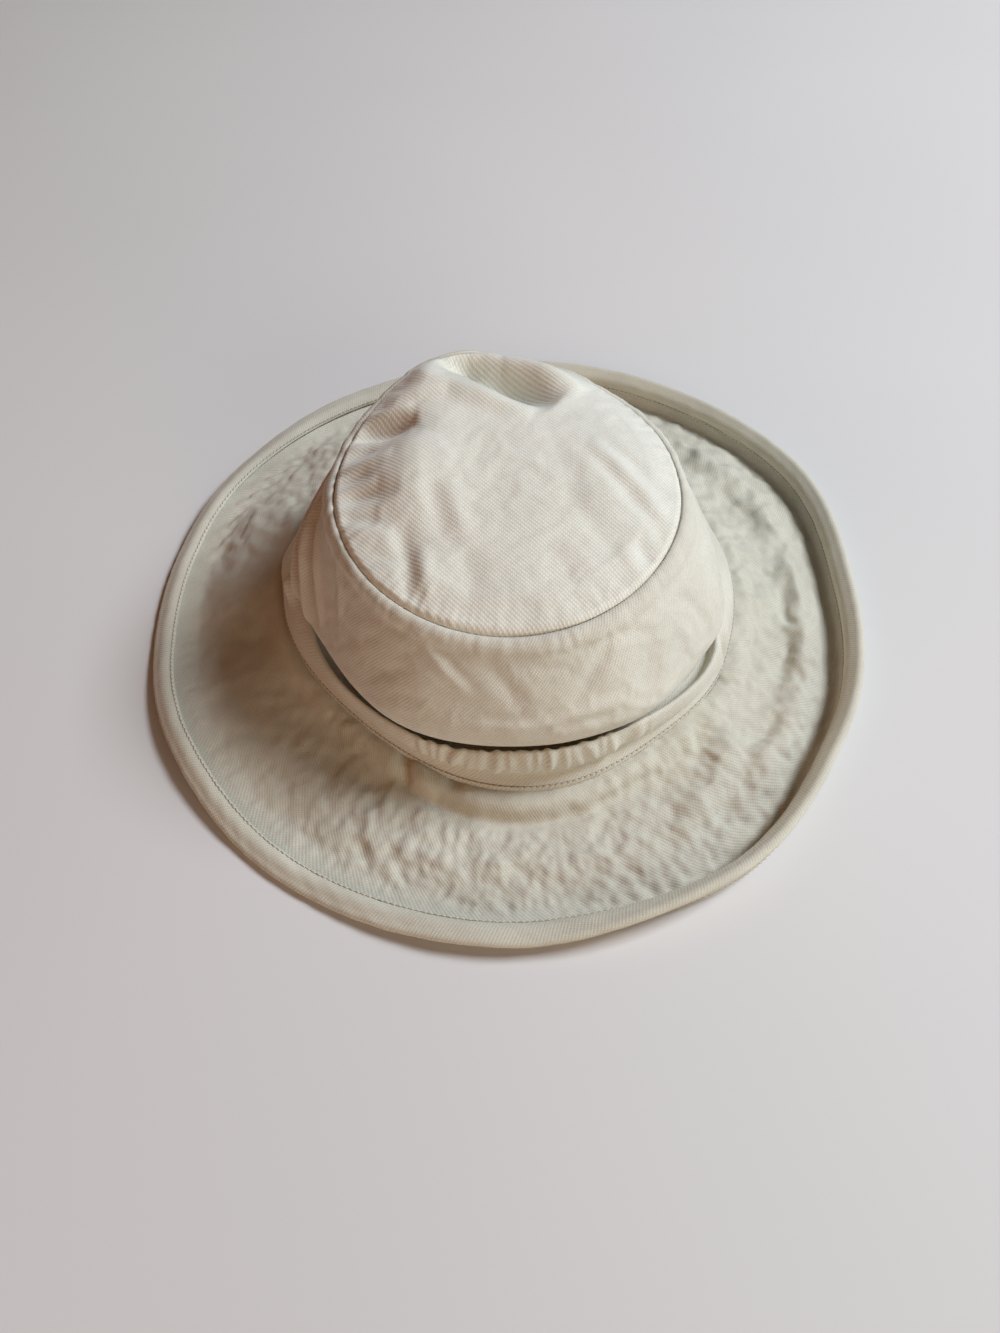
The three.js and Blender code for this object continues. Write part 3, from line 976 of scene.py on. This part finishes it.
def tip_face(azimuth, across):
    """The tip's upper face, with the folds drawn on it."""
    points = tip_sheet(azimuth, across) + [0, 0, CLOTH / 2]
    points[:, 2] += (1 - across**TIP_FOLD_FADE) * fold_heights(TIP_FOLDS, points[:, :2], np.ones(2))
    points[:, 2] -= RIM_DROP * smoothstep(across, RIM_FROM, 1)
    return points


def side_face(azimuth, along):
    """The side panel's outer face, with its creases, its gathers and the corner at the left."""
    across = panel_shares(SIDE_SPANS, along)
    degrees = np.degrees(azimuth) % 360
    folds = fold_heights([*SIDE_CREASES, DOG_EAR], columns(degrees, along), SIDE_UNIT, 360)
    gathers = BAND_GATHERS
    gathered = smoothstep(degrees, gathers.low, gathers.low + gathers.fade)
    gathered *= 1 - smoothstep(degrees, gathers.high - gathers.fade, gathers.high)
    gathered *= smoothstep(along, *GATHERS_RISE) * (1 - smoothstep(along, *GATHERS_FALL))
    around = degrees * SIDE_UNIT[0]
    wander = gathers.wander * grain_noise(columns(around, along, 0), (11, 22, 1))
    strength = 1 + gathers.uneven * grain_noise(columns(around, 0, 4), (9, 1, 1))
    ripples = np.sin(2 * math.pi * (around + wander) / gathers.spacing)
    folds += gathers.height * gathered * strength * ripples
    normals = sheet_normals(side_sheet, azimuth, across)
    return side_sheet(azimuth, across) + (CLOTH / 2 + folds)[:, None] * normals


def brim_face(azimuth, along):
    """The brim's upper face, with the creases drawn on it."""
    across = panel_shares(BRIM_SPAN_LENGTHS, along)
    folds = fold_heights(BRIM_CREASES, columns(np.degrees(azimuth), along), BRIM_UNIT, 360)
    normals = sheet_normals(brim_sheet, azimuth, across)
    return brim_sheet(azimuth, across) - (CLOTH / 2 + folds)[:, None] * normals


BINDING_FROM = 0.45  # share of the lip where the binding's legs start
BINDING_TURN = 0.26  # share of the binding's width that rolls round the edge
BINDING_PUFF = 0.8  # how much thicker the roll is above the brim

# Small drags of the binding: how far they slant, their size and height, and where they start
DRAG_SLANT = 1.3
DRAG_GRAIN = (6, 6, 16)
DRAG_HEIGHT = 0.18
DRAG_RISE = (8, 12)


def binding_face(azimuth, along):
    """The binding's outer face: out under the brim, round its edge and back over it."""
    across = along / BINDING_WIDTH
    leg = (1 - BINDING_TURN) / 2
    below = np.clip(across / leg, 0, 1)
    above = np.clip((1 - across) / leg, 0, 1)
    start = LIP_FOOT + BINDING_FROM / BRIM_SPANS
    station = start + (1 - start) * np.minimum(below, above)
    angle = math.pi * np.clip((across - leg) / BINDING_TURN, 0, 1)
    points = brim_sheet(azimuth, station)
    down = sheet_normals(brim_sheet, azimuth, station)
    out = points - brim_sheet(azimuth, station - SLOPE_STEP)
    out /= np.linalg.norm(out, axis=1)[:, None]
    puffed = 1 + BINDING_PUFF * np.sin(math.pi * np.minimum(below, above)) * (across > 0.5)
    wall = (CLOTH / 2 + GAP + BINDING_CLOTH) * puffed
    return points + wall[:, None] * (np.cos(angle)[:, None] * down + np.sin(angle)[:, None] * out)


def turn_into_seam(mesh, azimuth, distance):
    """Turns the border of a panel down into the seam round the tip."""
    seam = (tip_seam_points(azimuth) + [0, 0, SEAM_LEVEL] + HAT_MIDDLE) * MM
    turned = (1 - smoothstep(distance, 0, SEAM_TURN)) ** SEAM_ROUND
    for vertex, target, share in zip(mesh.verts, seam, turned):
        if share > 0:
            vertex.co = vertex.co.lerp(Vector(target), share)


def pucker_heights(puckers, azimuth, radius, distance):
    """Small puckers that run square to a seam of the given radius and fade away from it."""
    places = columns(radius * outward(azimuth)[:, :2], distance)
    ripples = grain_noise(places, (puckers.spacing, puckers.spacing, 4 * puckers.reach))
    return puckers.height * ripples * np.exp(-np.maximum(0, distance) / puckers.reach)


def away_from_crown(point):
    """The level direction from the crown's middle to a point."""
    return Vector((point.x, point.y - CROWN_MIDDLE * MM, 0)).normalized()


def upwards(_point):
    """Straight up, whatever the point."""
    return Vector((0, 0, 1))


def positions(mesh):
    """Where the vertices of a mesh lie, in millimetres."""
    return np.array([vertex.co for vertex in mesh.verts]) / MM


def crumple(mesh, pinned, style, smooth=0):
    """Crumples a sheet held at its seams, from faint lumps: more in some patches, less where smooth."""
    places = positions(mesh)
    push_out(mesh, style.seed * grain_noise(places, style.grain) * (1 - pinned))
    calm = CALM + CALM_PATCHES * grain_noise(places, style.patch) + smooth
    settle_cloth(mesh, np.maximum(pinned, style.hold), np.clip(calm, 0, 1), style)


class SUNHAT_OT_crown_tip(bpy.types.Operator):
    """Sews the round panel on top of the crown"""

    bl_idname = "sunhat.crown_tip"
    bl_label = "Crown Tip"

    def execute(self, context):
        scene = context.scene
        mesh = bmesh.new()
        weave = mesh.loops.layers.uv.new("weave")
        bmesh.ops.create_grid(mesh, x_segments=TIP_STEPS[0], y_segments=TIP_STEPS[1], size=1)
        flat = np.array([vertex.co for vertex in mesh.verts])[:, :2]
        disc = flat * np.sqrt(1 - flat[:, ::-1] ** 2 / 2)
        azimuth = np.arctan2(disc[:, 1], disc[:, 0])
        across = np.minimum(1, np.linalg.norm(disc, axis=1))
        place_vertices(mesh, tip_face(azimuth, across))
        for face in mesh.faces:
            for loop in face.loops:
                loop[weave].uv = loop.vert.co.xy / MM
        inside = TIP_RADIUS * (1 - across)
        note_places(mesh, azimuth, inside)
        sew_closed(mesh, upwards)
        crumple(mesh, 1 - smoothstep(inside, 0, TIP_HELD), TIP_CRUMPLE)
        azimuth, inside = noted_places(mesh)
        left = 1 + waves([LEFT_PUCKERS], azimuth)
        push_out(mesh, left * pucker_heights(TIP_PUCKERS, azimuth, TIP_RADIUS, inside))
        turn_into_seam(mesh, azimuth, inside)
        twill = cotton_twill(scene, TIP_TWILL)
        piece = finish_piece(mesh, "crown_tip_panel", twill, scene.sun_hat_sizes.cloth_wall)
        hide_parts("crown_tip")
        return {"FINISHED"}


class SUNHAT_OT_crown_side(bpy.types.Operator):
    """Sews the side panel, slumped into a tuck round the front"""

    bl_idname = "sunhat.crown_side"
    bl_label = "Crown Side"

    def execute(self, context):
        scene = context.scene
        mesh, azimuth, along = cloth_blank(SIDE_STEPS, (SIDE_ROUND, SIDE_HEIGHT))
        place_vertices(mesh, side_face(azimuth, along))
        sew_closed(mesh, away_from_crown)
        azimuth, along = noted_places(mesh)
        edge = np.minimum(along, SIDE_HEIGHT - along)
        in_band = BAND_HOLD * (1 - smoothstep(along, *BAND_HELD))
        crumple(mesh, np.maximum(1 - smoothstep(edge, *SIDE_HELD), in_band), SIDE_CRUMPLE)
        azimuth, along = noted_places(mesh)
        under = SIDE_HEIGHT - along
        turned = smoothstep(under, *ALLOWANCE_RISE) * (1 - smoothstep(under, *ALLOWANCE_FALL))
        puckers = pucker_heights(SIDE_PUCKERS, azimuth, TIP_RADIUS, under)
        push_out(mesh, puckers + ALLOWANCE * turned)
        turn_into_seam(mesh, azimuth, under)
        for vertex, sunk in zip(mesh.verts, FOOT_SUNK * (1 - smoothstep(along, 0, BASE_ROW))):
            vertex.co.z -= sunk * MM
        twill = cotton_twill(scene, SIDE_TWILL)
        piece = finish_piece(mesh, "crown_side_panel", twill, scene.sun_hat_sizes.cloth_wall)
        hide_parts("crown_side")
        return {"FINISHED"}


def brim_smoothness(azimuth, along):
    """How smooth the brim lies: 0 where it crumples, about 1 where it doesn't."""
    level = waves([LEVEL_SMOOTH], azimuth) * (1 - smoothstep(along, *LEVEL_ENDS))
    by_lip = waves([LIP_SMOOTH], azimuth) * smoothstep(along, *LIP_STARTS)
    return waves([LEFT_SMOOTH], azimuth) + level + by_lip


class SUNHAT_OT_brim(bpy.types.Operator):
    """Cuts and crumples the brim"""

    bl_idname = "sunhat.brim"
    bl_label = "Brim"

    def execute(self, context):
        scene = context.scene
        wall = scene.sun_hat_sizes.cloth_wall
        mesh, azimuth, along = cloth_blank(BRIM_STEPS, (BRIM_ROUND, BRIM_WIDTH))
        place_vertices(mesh, brim_face(azimuth, along))
        sew_closed(mesh, upwards)
        azimuth, along = noted_places(mesh)
        held = 1 - smoothstep(along, *BRIM_HELD_BASE) * (1 - smoothstep(along, *BRIM_HELD_LIP))
        crumple(mesh, held, BRIM_CRUMPLE, brim_smoothness(azimuth, along))
        azimuth, along = noted_places(mesh)
        rough = 1 - np.minimum(1, brim_smoothness(azimuth, along))
        rough *= 1 - smoothstep(along, *BUMPS_FADE)
        bumps = sum(size.height * grain_noise(positions(mesh), size.grain) for size in BRIM_BUMPS)
        puckers = pucker_heights(BRIM_PUCKERS, azimuth, LIP_RADIUS, LIP_LINE - along)
        push_out(mesh, rough * bumps + puckers * (along < LIP_LINE))
        for vertex in mesh.verts:
            vertex.co.z = max(vertex.co.z, wall)
        piece = finish_piece(mesh, "brim_sheet", cotton_twill(scene, BRIM_TWILL), wall)
        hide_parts("brim")
        return {"FINISHED"}


class SUNHAT_OT_brim_binding(bpy.types.Operator):
    """Folds the binding round the brim's edge"""

    bl_idname = "sunhat.brim_binding"
    bl_label = "Brim Binding"

    def execute(self, context):
        scene = context.scene
        mesh, azimuth, along = cloth_blank(BINDING_STEPS, (BINDING_ROUND, BINDING_WIDTH))
        place_vertices(mesh, binding_face(azimuth, along))
        sew_closed(mesh, away_from_crown)
        azimuth, along = noted_places(mesh)
        radius = BINDING_ROUND / (2 * math.pi)
        dragged = radius * outward(azimuth + DRAG_SLANT * along / radius)[:, :2]
        drag = grain_noise(columns(dragged, along), DRAG_GRAIN)
        push_out(mesh, DRAG_HEIGHT * drag * smoothstep(along, *DRAG_RISE))
        for vertex in mesh.verts:
            vertex.co.z = max(vertex.co.z, 0)
        twill = cotton_twill(scene, BINDING_TWILL)
        piece = finish_piece(mesh, "brim_edge_binding", twill, scene.sun_hat_sizes.cloth_wall)
        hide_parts("brim_binding")
        return {"FINISHED"}


def sew_row(points, outwards, sizes):
    """One thread sewn along a closed path, in millimetres: up over each stitch, then down into the cloth."""
    steps = np.linalg.norm(np.diff(points, axis=0, append=points[:1]), axis=1)
    ends = np.concatenate([[0], np.cumsum(steps)])
    stitches = round(ends[-1] * MM / sizes.stitch_pitch)
    mesh = bmesh.new()
    sunk = mesh.verts.layers.float.new("sunk")
    bmesh.ops.create_grid(mesh, x_segments=STITCH_SIDES, y_segments=STITCH_STEPS * stitches, size=0.5)
    flat = np.array([vertex.co for vertex in mesh.verts]) + 0.5
    loop = np.concatenate([np.arange(len(points)), [0]])
    path, out, run = (
        np.stack([np.interp(flat[:, 1] * ends[-1], ends, axis) for axis in rows.T], axis=1)
        for rows in (points[loop], outwards[loop], np.gradient(points[loop], ends, axis=0))
    )
    side = np.cross(run, out)
    side /= np.linalg.norm(side, axis=1)[:, None]
    thread = sizes.thread / MM
    turn = 2 * math.pi * flat[:, 0]
    swing = np.cos(2 * math.pi * stitches * flat[:, 1])
    lift = thread * (STITCH_LIFT + STITCH_DIP * swing)
    # sunk is 1 where the thread dips into the cloth; the thread's material paints the needle holes' shade
    # there
    for vertex, height in zip(mesh.verts, swing):
        vertex[sunk] = (1 - height) / 2
    place_vertices(mesh, path + (lift + thread / 2 * np.sin(turn))[:, None] * out
                   + (thread / 2 * np.cos(turn))[:, None] * side)
    bmesh.ops.remove_doubles(mesh, verts=mesh.verts, dist=1e-6)
    bmesh.ops.recalc_face_normals(mesh, faces=mesh.faces)
    return mesh


class SUNHAT_OT_stitches(bpy.types.Operator):
    """Sews the rows of topstitching: at the foot of the side panel and along the binding"""

    bl_idname = "sunhat.stitches"
    bl_label = "Stitches"

    def execute(self, context):
        scene = context.scene
        sizes = scene.sun_hat_sizes
        thread = cotton_thread(scene.sun_hat_colours)
        azimuth = np.linspace(0, 2 * math.pi, ROW_POINTS, endpoint=False)
        level = np.ones(len(azimuth))
        across = panel_shares(SIDE_SPANS, BASE_ROW * level)
        foot = side_face(azimuth, BASE_ROW * level)
        base_row = sew_row(foot, sheet_normals(side_sheet, azimuth, across), sizes)
        finish_piece(base_row, "base_topstitch", thread)
        down = sheet_normals(brim_sheet, azimuth, (LIP_FOOT + ROW_FACING / BRIM_SPANS) * level)
        for name, along, facing in (
            ("binding_topstitch_below", BINDING_ROW, down),
            ("binding_topstitch_above", BINDING_WIDTH - BINDING_ROW, -down),
        ):
            row = sew_row(binding_face(azimuth, along * level), facing, sizes)
            finish_piece(row, name, thread)
        return {"FINISHED"}


# Soft lamps: where they stand, in degrees round the hat and above the floor, their size in metres,
# their power in watts and their colour
Lamp = namedtuple("Lamp", "name azimuth elevation size energy colour")
LAMP_DISTANCE = 2.5
LAMPS = [
    Lamp("window", 12, 48, 0.85, 65, "#eef5ff"),
    Lamp("front fill", 300, 16, 1.6, 24, "#fff4e2"),
    Lamp("back fill", 90, 30, 1.6, 3.5, "#ffe6d4"),
    Lamp("warm wall", 218, 26, 1.6, 9, "#ff983a"),
]
FLOOR_REACH = 2.5  # metres from the middle

# The camera, fitted to the brim's outline: where it stands, its tilt from straight down, and its lens
CAMERA_PLACE = (-2.5, -277.6, 336.7)
CAMERA_TILT = 36
SENSOR = 36
LENS = 26.74


class SUNHAT_OT_stage(bpy.types.Operator):
    """Lays the floor, and sets the lights and the camera"""

    bl_idname = "sunhat.stage"
    bl_label = "Stage"

    def execute(self, context):
        scene = context.scene
        mesh = bmesh.new()
        bmesh.ops.create_grid(mesh, x_segments=1, y_segments=1, size=FLOOR_REACH)
        data = bpy.data.meshes.new("floor")
        mesh.to_mesh(data)
        mesh.free()
        data.materials.append(painted_board(scene.sun_hat_colours))
        floor = bpy.data.objects.new("floor", data)
        scene.collection.objects.link(floor)
        for lamp in LAMPS:
            data = bpy.data.lights.new(lamp.name, "AREA")
            data.size = lamp.size
            data.energy = lamp.energy
            data.color = linear(lamp.colour)
            light = bpy.data.objects.new(lamp.name, data)
            turn = Euler((0, -math.radians(lamp.elevation), math.radians(lamp.azimuth)))
            towards = turn.to_matrix().col[0]
            light.location = LAMP_DISTANCE * towards
            light.rotation_euler = towards.to_track_quat("Z", "Y").to_euler()
            scene.collection.objects.link(light)
        world = bpy.data.worlds.new("room")
        world.use_nodes = True
        room = world.node_tree
        room.nodes.clear()
        glow = add_node(room, "ShaderNodeBackground", {
            "Color": (*linear("#e8c8a8"), 1),
            "Strength": 0.012,
        })
        backdrop = add_node(room, "ShaderNodeBackground", {"Color": (*linear("#d2d0ce"), 1)})
        rays = add_node(room, "ShaderNodeLightPath")
        seen = add_node(room, "ShaderNodeMixShader", {
            0: rays.outputs["Is Camera Ray"],
            1: glow.outputs["Background"],
            2: backdrop.outputs["Background"],
        })
        add_node(room, "ShaderNodeOutputWorld", {"Surface": seen.outputs["Shader"]})
        scene.world = world
        lens = bpy.data.cameras.new("camera")
        lens.sensor_width = SENSOR
        lens.lens = LENS
        lens.clip_start = 0.01
        camera = bpy.data.objects.new("camera", lens)
        camera.location = [place * MM for place in CAMERA_PLACE]
        camera.rotation_euler = (math.radians(CAMERA_TILT), 0, 0)
        scene.collection.objects.link(camera)
        scene.camera = camera
        scene.view_settings.view_transform = "Standard"
        return {"FINISHED"}


class SUNHAT_PT_panel(bpy.types.Panel):
    """Lists the hat's pieces and its sizes and colours"""

    bl_idname = "SUNHAT_PT_panel"
    bl_label = "Sun Hat"
    bl_space_type = "VIEW_3D"
    bl_region_type = "UI"
    bl_category = "Sun Hat"

    def draw(self, context):
        for operator in OPERATORS:
            self.layout.operator(operator.bl_idname)
        for group in (context.scene.sun_hat_sizes, context.scene.sun_hat_colours):
            for name in group.__annotations__:
                self.layout.prop(group, name)


OPERATORS = (
    SUNHAT_OT_crown_tip,
    SUNHAT_OT_crown_side,
    SUNHAT_OT_brim,
    SUNHAT_OT_brim_binding,
    SUNHAT_OT_stitches,
    SUNHAT_OT_stage,
)
CLASSES = (SunHatSizes, SunHatColours, *OPERATORS, SUNHAT_PT_panel)


def register():
    """Adds the hat's operators, panel and settings to Blender."""
    for item in CLASSES:
        bpy.utils.register_class(item)
    bpy.types.Scene.sun_hat_sizes = PointerProperty(type=SunHatSizes)
    bpy.types.Scene.sun_hat_colours = PointerProperty(type=SunHatColours)


def unregister():
    """Takes them out again."""
    del bpy.types.Scene.sun_hat_colours
    del bpy.types.Scene.sun_hat_sizes
    for item in reversed(CLASSES):
        bpy.utils.unregister_class(item)


def main():
    """Sews the whole hat and sets the stage."""
    register()
    bpy.ops.sunhat.crown_tip()
    bpy.ops.sunhat.crown_side()
    bpy.ops.sunhat.brim()
    bpy.ops.sunhat.brim_binding()
    bpy.ops.sunhat.stitches()
    bpy.ops.sunhat.stage()


if __name__ == "__main__":
    main()
